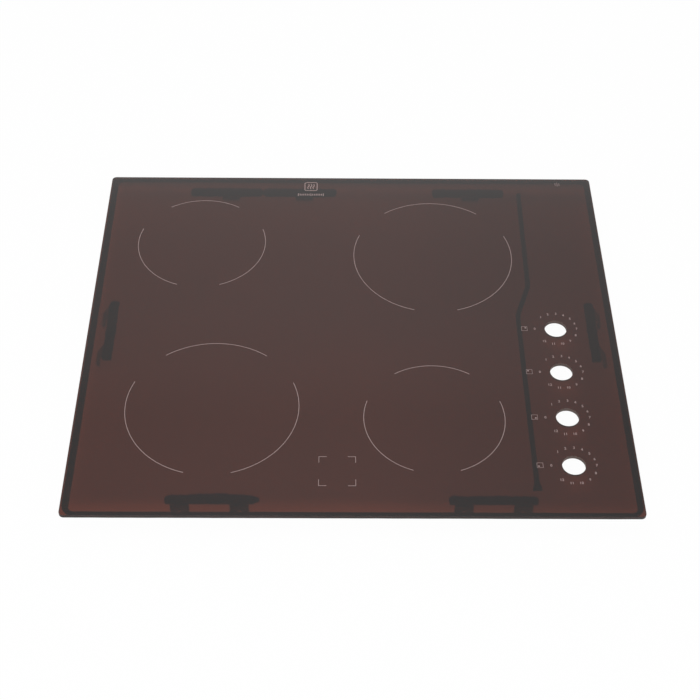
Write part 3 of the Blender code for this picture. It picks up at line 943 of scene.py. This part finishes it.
class HOB_OT_edge_marks(bpy.types.Operator):
    """Print the four-cornered mark at the front, the plain heat sign at the rear and the ticks in the corner"""

    bl_idname = "hob.edge_marks"
    bl_label = "Edge marks"

    def execute(self, context):
        sizes = settings().print
        half, leg = sizes.frame_size / 2, sizes.frame_leg
        corner = np.array([(half - leg, half), (half, half), (half, half - leg)])
        parts = []
        for signs in ((1, 1), (-1, 1), (-1, -1), (1, -1)):
            parts += stroke(np.array(tuple(sizes.frame_centre)) + corner * signs, sizes.mark_line)
        new_print("corner_mark", parts)

        centre = np.array(tuple(sizes.heat_centre))
        half = sizes.heat_size / 2
        box = rounded_polyline(half * np.array([(0, -1), (1, -1), (1, 1), (-1, 1), (-1, -1), (0, -1)]), half * 0.3, 5)
        parts = stroke(centre + box[:-1], sizes.heat_line, closed=True)
        rise = np.linspace(-0.58, 0.58, 17)
        sway = 0.11 * np.sin(rise * 2 * math.pi / 1.16)
        for column in (-0.42, 0.0, 0.42):
            parts += stroke(centre + half * np.stack([column + sway, rise], 1), sizes.heat_line)
        places = np.linspace(-0.5, 0.5, 15) * sizes.ticks_width
        halves = [0.0023 if k % 7 == 0 else 0.0016 for k in range(len(places))]  # longer at both ends and the middle
        parts += tick_row(centre - (0, half + 0.0077), places, halves, sizes.heat_line)
        new_print("heat_mark", parts)

        places, halves = (-0.0024, 0.0, 0.0024), (0.0024, 0.0034, 0.0024)
        new_print("corner_ticks", tick_row(np.array(tuple(sizes.corner_ticks)), places, halves, sizes.mark_line))
        return {"FINISHED"}


def foam_loop(insets, front_radius, rear_radius):
    """The closed outline at those insets from the plate's left, right, front and rear edges, counterclockwise.

    Every loop has the same number of points, so two of them can be joined point by point, and the
    front half of one can go over into the rear half of another along their straight sides.
    """
    left, right, front, rear = insets
    low, high = GLASS_LOW[:2] + (left, front), GLASS_HIGH[:2] - (right, rear)
    half = (high - low) / 2
    loops = []
    for radius in (front_radius, rear_radius):
        side_x, side_y = (np.linspace(radius - h, h - radius, count) for h, count in zip(half, (161, 141)))
        base, facing = outline_of(half, radius, side_x, side_y, 12)
        loops.append(base + facing * radius)
    return (low + high) / 2 + np.where(loops[0][:, 1:] < 0, loops[0], loops[1])


def capped(points):
    """A tube from a (rows, around, 3) array, closed at both ends by a fan to the middle of its last ring."""
    first, last = (np.repeat(ring.mean(0, keepdims=True), len(ring), 0)[None] for ring in (points[0], points[-1]))
    return surface(np.concatenate([first, points, last]), close_columns=True)


class HOB_OT_seals(bpy.types.Operator):
    """Lay the foam strip along the plate's edge and the one beside the knob row"""

    bl_idname = "hob.seals"
    bl_label = "Seals"

    def execute(self, context):
        sizes = settings().seals
        foam = foam_finish(settings().finishes)
        section = squared_oval(28, 7.0)
        new_piece("perimeter_foam", [self.edge_strip(sizes, section)], [foam], ["perimeter_seal"])
        new_piece("divider_foam", [self.divider_strip(sizes, section)], [foam], ["divider_seal"])
        return {"FINISHED"}

    def edge_strip(self, sizes, section):
        """The section spread from the outer loop to the inner one at each point, wandering and pinched a little."""
        low, high = PERIMETER
        outer = foam_loop(sizes.outer_insets, sizes.outer_radius, sizes.rear_outer_radius)
        inner = foam_loop(sizes.inner_insets, sizes.inner_radius, sizes.inner_radius)
        run = run_along(np.concatenate([outer, outer[:1]]))
        run, total = run[:-1], run[-1]
        uneven, plump = (wander(run, seed, total / 9, total / 23, total / 61) for seed in (1, 2))
        squeeze = 1 - (0.012 * (1 + plump))[:, None, None] * (1, 1)
        middle, reach = (outer + inner) / 2, (outer - inner) / 2
        middle = middle + sizes.unevenness * uneven[:, None] * reach / np.linalg.norm(reach, axis=1, keepdims=True)
        flat = middle[:, None] + reach[:, None] * section[:, :1] * squeeze
        depth = (high[2] - low[2]) / 2 * (1 - 0.015 * (1 + plump))[:, None]
        return surface(with_height(flat, (high[2] + low[2]) / 2 + depth * section[:, 1]), True, True)

    def divider_strip(self, sizes, section):
        """The section carried along a bent line, wider towards the line's front end by up to the foot."""
        low, high = DIVIDER
        jog_front = KNOB_HOLES[-1, 1] + sizes.jog_behind
        half_width = sizes.divider_width / 2
        rear_x = high[0] - half_width
        line = rounded_polyline([
            (low[0] + half_width, low[1]),
            (rear_x - sizes.rear_slant - sizes.jog, jog_front),
            (rear_x - sizes.rear_slant, jog_front + sizes.jog_length),
            (rear_x, high[1]),
        ], sizes.divider_bend, 12, 0.004)
        run = run_along(line)
        uneven = sizes.unevenness * 0.5 * wander(run, 3.0, 0.051, 0.019)
        foot = sizes.divider_foot / 2 * np.clip(1.5 * (1 - run / sizes.foot_length), 0, 1)
        spread = uneven[:, None] + (half_width - sizes.unevenness + foot[:, None]) * section[:, 0]
        z = (high[2] + low[2]) / 2 + (high[2] - low[2]) / 2 * section[:, 1]
        return capped(with_height(line[:, None] + right_of(line)[:, None] * spread[..., None], z))


class Bar:
    """Where a bracket's bar lies: the line of its fold, its middle and half length, and its two directions.

    facing points to the side of its tabs, and along is facing turned a quarter counterclockwise.
    """

    def __init__(self, node, facing, bar_width):
        self.low, self.high = span(node)
        self.facing = np.array(facing, float)
        self.along = np.array([-self.facing[1], self.facing[0]])
        box = np.stack([self.low[:2], self.high[:2]])
        ends = box @ self.along
        self.middle = ends.mean()
        self.half_length = np.ptp(ends) / 2
        self.fold_line = np.min(box @ self.facing) + bar_width
        self.reach = np.max(box @ self.facing)

    def points(self, at, out, height):
        """Points at those distances along the bar from its middle, out towards its tabs, and up."""
        return with_height((self.middle + at)[..., None] * self.along + out[..., None] * self.facing, height)


class HOB_OT_brackets(bpy.types.Operator):
    """Fold the seven sheet brackets: a bar with screw tabs or with sprung tongues"""

    bl_idname = "hob.brackets"
    bl_label = "Brackets"

    def execute(self, context):
        sizes, finishes = settings().brackets, settings().finishes
        materials = [coating_finish(finishes), cut_edge_finish(finishes)]
        for name, (node, facing, tabs, sprung) in BRACKETS.items():
            bar = Bar(node, facing, sizes.bar_width)
            line = self.side_line(bar, sizes, sprung)
            tab_half, tab_middles = self.tab_places(bar, sizes, tabs)
            blank = self.blank(bar, sizes, run_along(line) - sizes.bar_width, tab_half, tab_middles, sprung)
            piece = self.folded("bracket_" + name, node, bar, sizes, line, blank, materials)
            self.thicken(piece, sizes)
        return {"FINISHED"}

    def side_line(self, bar, sizes, sprung):
        """The bracket seen from the side, as (out from the fold line, height): bar, fold, and tab or tongue.

        A tongue leans out from the fold to its knee and turns back in below it. A tab hangs straight down.
        """
        height, radius = bar.high[2] - sizes.sheet / 2, sizes.fold_radius
        turn = np.linspace(math.pi / 2, 0, 7)[:, None]
        fold = np.array([0, height - radius]) + radius * np.concatenate([np.cos(turn), np.sin(turn)], 1)
        rest = [(radius, bar.low[2])]
        if sprung:
            lean = math.atan2(sizes.lip_return, sizes.lip_length)
            lip_end = bar.low[2] + sizes.sheet / 2 * math.sin(lean)
            knee_out = bar.reach - sizes.sheet / 2 - bar.fold_line
            knee = (knee_out, lip_end + sizes.lip_length)
            lip = (knee_out - sizes.lip_return, lip_end)
            rest = rounded_polyline([fold[-1], knee, lip], radius, 8, 0.004)[1:]
        return np.concatenate([[(-sizes.bar_width, height)], fold, rest])

    def tab_places(self, bar, sizes, tabs):
        """Half a tab's width, and the middles of the tabs along the bar."""
        if len(tabs) == 1:
            return sizes.single_tab_width / 2, [-sizes.single_tab_offset]
        half = sizes.tab_width / 2
        return half, [side * (bar.half_length - sizes.tab_from_end - half) for side in tabs]

    def blank(self, bar, sizes, run, tab_half, tab_middles, sprung):
        """The flat sheet that is folded: s runs along the bar and t across it, from the bar's inner edge outwards."""
        cell, step = 0.0040, 0.0030  # half side of the squares round the screw holes, and the lattice's step
        least = 2e-5  # a line closer than this to the one before is left out
        corner, tab_corner, half_length = sizes.bar_corner, sizes.tab_corner, bar.half_length
        end = round(run[-1], DECIMALS)
        hole_t = end - sizes.hole_from_end
        tab_edge = tab_half - tab_corner
        s_breaks = [-half_length, -half_length + corner, half_length - corner, half_length]
        t_breaks = [-sizes.bar_width, -sizes.bar_width + corner, -corner, 0.0, end - tab_corner, end]
        for at in tab_middles:
            s_breaks += [at - tab_half, at - tab_half + tab_corner, at + tab_half - tab_corner, at + tab_half]
            if not sprung:
                s_breaks += [at - cell, at + cell]
        s, t = lattice(s_breaks, step), lattice(t_breaks, step)
        holes, last_bend = [], end - tab_corner - 1e-4
        if not sprung:
            holes = [((at, hole_t), cell, sizes.screw_hole / 2) for at in tab_middles]
            t = with_cell(t, hole_t, cell)
            for at in tab_middles:
                s = with_cell(s, at, cell)
            last_bend = sizes.fold_radius * math.pi / 2 + CLOSE
        t = np.unique(np.round(np.concatenate([t, run[(run > CLOSE) & (run < last_bend)]]), DECIMALS))
        t = t[np.concatenate([[True], np.diff(t) > least])]

        def cut_away(a, b):
            near = np.zeros(a.shape, bool)
            for at in tab_middles:
                near |= np.abs(a - at) < tab_half
            return (b > 0) & ~near

        corners = [
            ((sx * (half_length - corner), at), (sx, sy), corner)
            for sx in (-1, 1) for at, sy in ((-sizes.bar_width + corner, -1), (-corner, 1))
        ]
        corners += [
            ((at + sx * tab_edge, end - tab_corner), (sx, 1), tab_corner) for at in tab_middles for sx in (-1, 1)
        ]
        return flat_sheet(s, t, cut_away, corners, holes, 4)

    def folded(self, name, node, bar, sizes, line, blank, materials):
        """The blank carried along the side line: a point at t across lies where the line is after the run t."""
        run = run_along(line) - sizes.bar_width

        def bent(points):
            out, height = (np.interp(points[:, 1], run, line[:, k]) for k in (0, 1))
            return bar.points(points[:, 0], bar.fold_line + out, height)

        return new_piece(name, lifted(blank, bent, flip=True), materials, [node])

    def thicken(self, piece, sizes):
        wall = piece.modifiers.new("sheet", "SOLIDIFY")
        wall.thickness, wall.offset, wall.use_even_offset = sizes.sheet, 0.0, True
        wall.material_offset_rim = 1
        worn = piece.modifiers.new("broken edge", "BEVEL")
        worn.width, worn.segments = sizes.broken_edge, 2
        worn.limit_method, worn.angle_limit = "ANGLE", math.radians(50)


class HOB_OT_beads(bpy.types.Operator):
    """Lay the silicone bead that bonds each bracket to the glass"""

    bl_idname = "hob.beads"
    bl_label = "Adhesive beads"

    def execute(self, context):
        silicone = silicone_finish(settings().finishes)
        for seed, (name, (node, facing, _, _)) in enumerate(BRACKETS.items(), 1):
            points = self.bead(name, Bar(node, facing, settings().brackets.bar_width), seed)
            new_piece("bead_" + name, [capped(points)], [silicone], ["adhesive_" + name])
        return {"FINISHED"}

    def bead(self, name, bar, seed):
        """An oval section carried along the bar, with a wandering reach on each side and ends rounded by a taper."""
        sizes, bar_half = settings().beads, settings().brackets.bar_width / 2
        round_off = 0.004  # length of a bead's rounded end
        section = squared_oval(24, 2.6)
        half_length, half = bar.half_length + sizes.margin, bar_half + sizes.margin
        tail = {"front_left": sizes.tail, "rear_middle": sizes.rear_tail}.get(name, 0.0)
        at = tail / 2 + (half_length + tail / 2) * np.sin(np.linspace(-math.pi / 2, math.pi / 2, 91))
        from_ends = np.minimum((at + half_length) / round_off, (half_length + tail - at) / (round_off + 2 * tail))
        taper = 0.2 + 0.8 * np.sqrt(1 - (1 - np.clip(from_ends, 0, 1)) ** 2)
        outer = half + sizes.wander * 0.6 * wander(at, seed, 0.047, 0.019, 0.011)
        inner = half + sizes.wander * wander(at, seed + 0.5, 0.061, 0.023, 0.009)
        if name == "front_left":
            inner = inner + sizes.bulge * np.cos(math.pi * (at - 0.004) / 0.105) ** 2
        elif name.startswith("rear"):
            inner, outer = inner + sizes.rear_spread, outer + sizes.rear_spread / 3
        reach = np.where(section[:, 0] > 0, outer[:, None], inner[:, None]) * section[:, 0]
        out = bar.fold_line - bar_half + reach * taper[:, None]
        sunk = 2e-5  # the bead lies this much into the bar, and as much below the glass
        bottom, top = bar.high[2] - sunk, GLASS_LOW[2] - sunk
        z = (top + bottom) / 2 + (top - bottom) / 2 * section[:, 1] * (0.35 + 0.65 * taper[:, None])
        return bar.points(at[:, None], out, z)


# ---------------------------------------------------------------- stage


def soft_lamp(name, location, size, power):
    """A rectangular lamp that looks at the middle of the floor. Glass and metal mirror the room, and not the lamp."""
    lamp = bpy.data.lights.new(name, "AREA")
    lamp.shape, lamp.size, lamp.size_y, lamp.energy = "RECTANGLE", *size, power
    made = bpy.data.objects.new(name, lamp)
    bpy.context.scene.collection.objects.link(made)
    x, y, z = location
    made.location = location
    made.rotation_euler = (math.atan2(math.hypot(x, y), z), 0.0, math.atan2(x, -y))
    made.visible_glossy = False


def share_by_ray(tree, plain, glossy, through, seen):
    """A number that is plain for diffuse rays, and another one for mirrored, transmitted and camera rays each."""
    path = add_node(tree, "ShaderNodeLightPath")
    value = plain
    for flag, other in (("Is Glossy Ray", glossy), ("Is Transmission Ray", through), ("Is Camera Ray", seen)):
        chosen = {0: path.outputs[flag], 2: value, 3: other}
        value = add_node(tree, "ShaderNodeMix", chosen, data_type="FLOAT").outputs[0]
    return value


def stepped(tree, value, stops, high=2.0):
    """The value carried through straight steps between (place, level) stops. Levels go up to high."""
    ramp = add_node(tree, "ShaderNodeValToRGB", {0: value})
    elements = ramp.color_ramp.elements
    elements.remove(elements[1])
    for _ in stops[1:]:
        elements.new(1.0)
    for element, (at, level) in zip(elements, stops):
        element.position = at
        element.color = (level / high,) * 3 + (1.0,)
    return math_node(tree, "MULTIPLY", ramp.outputs[0], high)


class HOB_OT_stage(bpy.types.Operator):
    """Set up the floor, the soft light and the camera"""

    bl_idname = "hob.stage"
    bl_label = "Stage"

    def execute(self, context):
        stage, scene = settings().stage, context.scene
        self.make_floor(stage)
        self.make_world(stage, scene)
        soft_lamp("front_soft_lamp", location=(0.0, -1.95, 0.95), size=(2.4, 1.1), power=stage.front_power)
        soft_lamp("top_soft_lamp", location=(-0.5, 0.1, 2.1), size=(1.8, 1.8), power=stage.top_power)
        lens = bpy.data.cameras.new("hob_camera")
        lens.sensor_width, lens.lens = 36.0, 76.53
        lens.clip_start, lens.clip_end = 0.05, 30.0
        camera = bpy.data.objects.new("hob_camera", lens)
        scene.collection.objects.link(camera)
        camera.location = (-0.01713, -1.15705, GLASS_HIGH[2] + 1.19989)
        camera.rotation_euler = [math.radians(a) for a in (43.155, -0.538, -0.181)]
        scene.camera = camera
        scene.view_settings.view_transform = "Standard"
        return {"FINISHED"}

    def make_floor(self, stage):
        """A wide flat floor. It mixes a lit surface, which takes the shadow, with a plain white of its own."""
        reach, below = 6.0, 0.0004
        x = np.linspace(-reach, reach, 13)
        points = with_height(np.stack(np.meshgrid(x, x, indexing="ij"), -1), cad_low[2] - below)
        mesh = bpy.data.meshes.new("floor")
        mesh.from_pydata(points.reshape(-1, 3).tolist(), [], grid_faces(*points.shape[:2]).tolist())
        floor = bpy.data.objects.new("floor", mesh)
        bpy.context.scene.collection.objects.link(floor)
        material = bpy.data.materials.new("pale_floor")
        material.use_nodes = True
        tree = material.node_tree
        tree.nodes.remove(tree.nodes["Principled BSDF"])
        own = add_node(tree, "ShaderNodeEmission", {"Color": (1, 1, 1, 1), "Strength": 1.0})
        lit, through = self.ground_below_glass(tree, stage)
        # Seen through the glass, the share of own white is painted light and shade that changes with the place on the
        # floor.
        white = share_by_ray(tree, 0.0, stage.ground_mirrored, through, stage.seen_ground)
        mixed = add_node(tree, "ShaderNodeMixShader", {0: white, 1: lit, 2: own.outputs[0]})
        tree.links.new(mixed.outputs[0], tree.nodes["Material Output"].inputs["Surface"])
        mesh.materials.append(material)

    def ground_below_glass(self, tree, stage):
        """The lit surface, and the share of own white that shows through the glass.

        Both change with the place on the ground, as painted light and shade. The share changes from front to rear and
        towards the right: a painted pool of light just inside the plate's front edge, and painted shade further in,
        towards the rear and towards the right.
        The lit surface gets a painted shadow, darker along the rear edge.
        """
        x, y, _ = add_node(tree, "ShaderNodeSeparateXYZ", {0: object_place(tree)}).outputs
        slant = mapped(tree, x, 0.0, 0.0060, 0.0, 0.28)
        depth = mapped(tree, math_node(tree, "ADD", y, slant), 0.0, 1.0, -0.3, 0.3)
        # Painted light and shade on the floor as seen through the glass: a painted pool of light in a strip just
        # inside the plate's front edge, then a plain level to the middle, painted shade deepening towards the rear,
        # and none of the floor's own white at the rear edge.
        painted_light_shade_by_depth = stepped(tree, depth, [
            (0.090, 0.90), (0.096, 1.98), (0.107, 1.98), (0.117, 1.62), (0.123, 1.32), (0.135, 0.98), (0.173, 1.05),
            (0.433, 1.00), (0.608, 0.79), (0.775, 0.76), (0.858, 0.86), (0.902, 0.82), (0.937, 0.28), (0.958, 0.0),
        ])
        # Painted shade towards the right: the floor's own white seen through the glass falls off from the middle to
        # the right.
        painted_shade_rightwards = mapped(tree, x, 1.0, stage.ground_right, 0.0, 0.18)
        painted_light_and_shade = math_node(tree, "MULTIPLY", painted_light_shade_by_depth, painted_shade_rightwards)
        # Painted shadow: seen through the glass only, the lit floor is painted towards black along the plate's rear
        # edge.
        rear = share_by_ray(tree, 0.0, 0.0, mapped(tree, y, 0.0, stage.rear_shade, 0.262, 0.278), 0.0)
        _, grain, _ = variation(tree, 3.0, 400.0)
        ground = tinted(tree, settings().finishes.ground, 0.01, grain)
        lit = add_node(tree, "ShaderNodeBsdfDiffuse", {"Color": blended(tree, rear, ground, (0, 0, 0, 1))})
        return lit.outputs[0], math_node(tree, "MULTIPLY", painted_light_and_shade, stage.ground_through_glass)

    def make_world(self, stage, scene):
        """Even white light. What glass mirrors of it gets brighter from overhead down to the horizon, as in a room."""
        world = bpy.data.worlds.new("white_room")
        world.use_nodes = True
        scene.world = world
        tree = world.node_tree
        direction = add_node(tree, "ShaderNodeTexCoord").outputs["Generated"]
        x, _, z = add_node(tree, "ShaderNodeSeparateXYZ", {0: direction}).outputs
        aside = math_node(tree, "MULTIPLY", x, x)
        upright = math_node(tree, "SQRT", math_node(tree, "SUBTRACT", 1.0, aside))
        level = stepped(tree, math_node(tree, "DIVIDE", z, upright), [
            (0.30, 1.25), (0.645, 1.40), (0.650, 1.31), (0.657, 1.18), (0.665, 1.12), (0.690, 1.07),
            (0.714, 1.06), (0.738, 1.00), (0.760, 0.91), (0.790, 0.93), (1.0, 0.90),
        ])
        fall = mapped(tree, aside, 1.0, stage.side_level, 0.0, 0.045)
        strength = share_by_ray(tree, stage.world_level, math_node(tree, "MULTIPLY", level, fall), 1.0, 1.0)
        back = tree.nodes["Background"]
        back.inputs["Color"].default_value = (1, 1, 1, 1)
        tree.links.new(strength, back.inputs["Strength"])


# ---------------------------------------------------------------- sidebar


def group_of(kind, name, description):
    return bpy.props.PointerProperty(type=kind, name=name, description=description)


class HobTopSettings(bpy.types.PropertyGroup):
    glass: group_of(HobGlassSizes, "Glass", "Sizes of the glass plate")
    print: group_of(HobPrintSizes, "Print", "Sizes and places of the print")
    seals: group_of(HobSealSizes, "Seals", "Sizes of the foam strips")
    brackets: group_of(HobBracketSizes, "Brackets", "Sizes of the sheet brackets")
    beads: group_of(HobBeadSizes, "Beads", "Sizes of the silicone beads")
    finishes: group_of(HobFinishes, "Finishes", "Colours of the materials")
    stage: group_of(HobStageSettings, "Stage", "Light and floor")


OPERATORS = (
    HOB_OT_glass_plate,
    HOB_OT_zone_rings,
    HOB_OT_dial_numbers,
    HOB_OT_zone_signs,
    HOB_OT_edge_marks,
    HOB_OT_seals,
    HOB_OT_brackets,
    HOB_OT_beads,
    HOB_OT_stage,
)


class HOB_PT_panel(bpy.types.Panel):
    """Lists the hob top's sizes, colours and building steps"""

    bl_idname = "HOB_PT_panel"
    bl_label = "Hob top"
    bl_space_type = "VIEW_3D"
    bl_region_type = "UI"
    bl_category = "Hob top"

    def draw(self, context):
        groups = context.scene.hob_top
        for operator in OPERATORS:
            self.layout.operator(operator.bl_idname)
        for name in HobTopSettings.__annotations__:
            box = self.layout.box()
            box.label(text=name.capitalize())
            group = getattr(groups, name)
            for key in group.__annotations__:
                box.prop(group, key)


CLASSES = (
    HobGlassSizes,
    HobPrintSizes,
    HobSealSizes,
    HobBracketSizes,
    HobBeadSizes,
    HobFinishes,
    HobStageSettings,
    HobTopSettings,
    *OPERATORS,
    HOB_PT_panel,
)


def register():
    for made in CLASSES:
        bpy.utils.register_class(made)
    bpy.types.Scene.hob_top = bpy.props.PointerProperty(type=HobTopSettings)


def unregister():
    del bpy.types.Scene.hob_top
    for made in reversed(CLASSES):
        bpy.utils.unregister_class(made)


def main():
    register()
    bpy.ops.hob.glass_plate()
    bpy.ops.hob.zone_rings()
    bpy.ops.hob.dial_numbers()
    bpy.ops.hob.zone_signs()
    bpy.ops.hob.edge_marks()
    bpy.ops.hob.seals()
    bpy.ops.hob.brackets()
    bpy.ops.hob.beads()
    bpy.ops.hob.stage()


if __name__ == "__main__":
    main()
